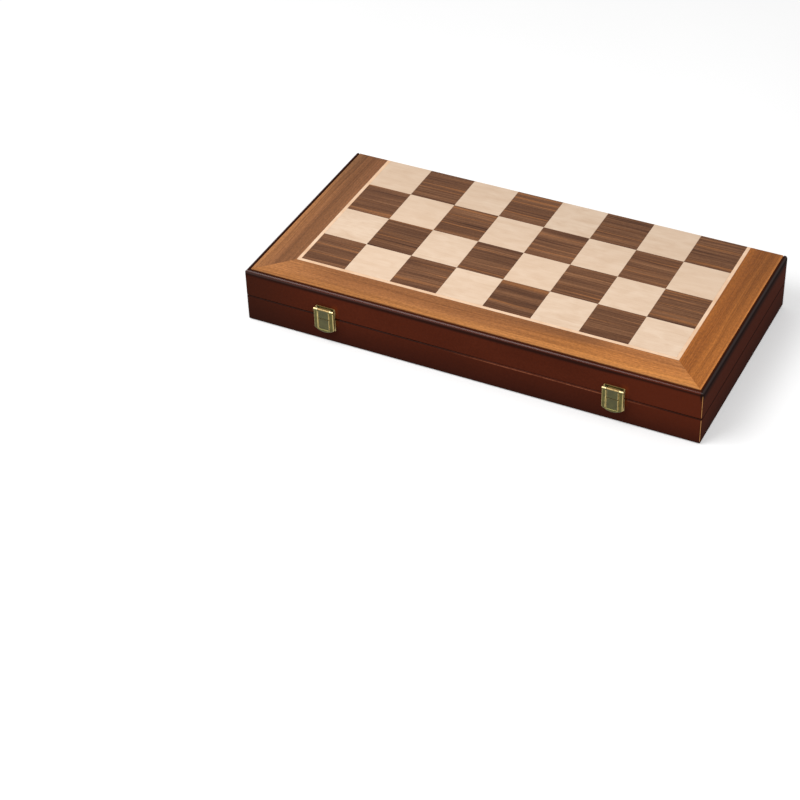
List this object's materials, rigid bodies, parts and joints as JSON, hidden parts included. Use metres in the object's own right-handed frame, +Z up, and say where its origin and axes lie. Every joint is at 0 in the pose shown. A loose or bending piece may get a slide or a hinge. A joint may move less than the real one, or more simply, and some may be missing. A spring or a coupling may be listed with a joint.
{
  "type": "chess box with hinged lid",
  "caption": "Folding wooden chess box: hinged half cases veneered outside as a chessboard, closed by brass hasps, with chessmen lying in fitted trays.",
  "frame": {"origin": "middle of the underside of the closed box, on the surface that it stands on", "axes": "+X along the length of the box, +Y to the hinged back, -Y to the latches at the front, +Z up"},
  "size_m": [0.48, 0.2481, 0.06],
  "materials": {
    "lacquered_wood": "gloss lacquer, mahogany red-brown that darkens to black at the rims",
    "core_board": "dark stained board",
    "walnut_veneer": "satin varnish",
    "maple_veneer": "satin varnish",
    "border_veneer": "satin varnish",
    "line_veneer": "satin varnish",
    "felt": "green felt",
    "flock": "green flock on board",
    "brass": "polished with a slight antique tone",
    "light_wood": "varnished boxwood",
    "dark_wood": "varnished dark stained wood",
    "pad_felt": "green felt"
  },
  "bodies": {
    "base": {"base_front_wall": "lacquered_wood", "base_back_wall": "lacquered_wood", "base_left_wall": "lacquered_wood", "base_right_wall": "lacquered_wood", "base_panel": "core_board", "base_dark_squares": "walnut_veneer", "base_light_squares": "maple_veneer", "base_border_veneer": "border_veneer", "base_inlaid_line": "line_veneer", "base_felt": "felt", "light_tray": "flock", "dark_tray": "flock", "left_hinge_base_leaf": "brass", "left_hinge_pin": "brass", "left_hinge_base_screws": "brass", "right_hinge_base_leaf": "brass", "right_hinge_pin": "brass", "right_hinge_base_screws": "brass", "left_catch": "brass", "left_catch_screws": "brass", "right_catch": "brass", "right_catch_screws": "brass", "light_king": "light_wood", "light_queen": "light_wood", "light_bishops": "light_wood", "light_knights": "light_wood", "light_rooks": "light_wood", "light_pawns": "light_wood", "light_pads": "pad_felt", "dark_king": "dark_wood", "dark_queen": "dark_wood", "dark_bishops": "dark_wood", "dark_knights": "dark_wood", "dark_rooks": "dark_wood", "dark_pawns": "dark_wood", "dark_pads": "pad_felt"},
    "lid": {"lid_front_wall": "lacquered_wood", "lid_back_wall": "lacquered_wood", "lid_left_wall": "lacquered_wood", "lid_right_wall": "lacquered_wood", "lid_panel": "core_board", "lid_dark_squares": "walnut_veneer", "lid_light_squares": "maple_veneer", "lid_border_veneer": "border_veneer", "lid_inlaid_line": "line_veneer", "lid_felt": "felt", "left_hinge_lid_leaf": "brass", "left_hinge_lid_screws": "brass", "right_hinge_lid_leaf": "brass", "right_hinge_lid_screws": "brass", "left_latch_plate": "brass", "left_latch_plate_screws": "brass", "left_latch_pin": "brass", "right_latch_plate": "brass", "right_latch_plate_screws": "brass", "right_latch_pin": "brass"},
    "left_hasp": {"left_hasp": "brass"},
    "right_hasp": {"right_hasp": "brass"}
  },
  "joints": [
    {"name": "lid_hinge", "type": "hinge", "parent": "base", "child": "lid", "pos_m": [0, 0.1202, 0.03], "axis": [-1, 0, 0], "range_deg": [0, 180]},
    {"name": "left_hasp_pivot", "type": "hinge", "parent": "lid", "child": "left_hasp", "pos_m": [-0.15, -0.124, 0.0395], "axis": [-1, 0, 0], "range_deg": [0, 135]},
    {"name": "right_hasp_pivot", "type": "hinge", "parent": "lid", "child": "right_hasp", "pos_m": [0.154, -0.124, 0.0395], "axis": [-1, 0, 0], "range_deg": [0, 135]}
  ]
}
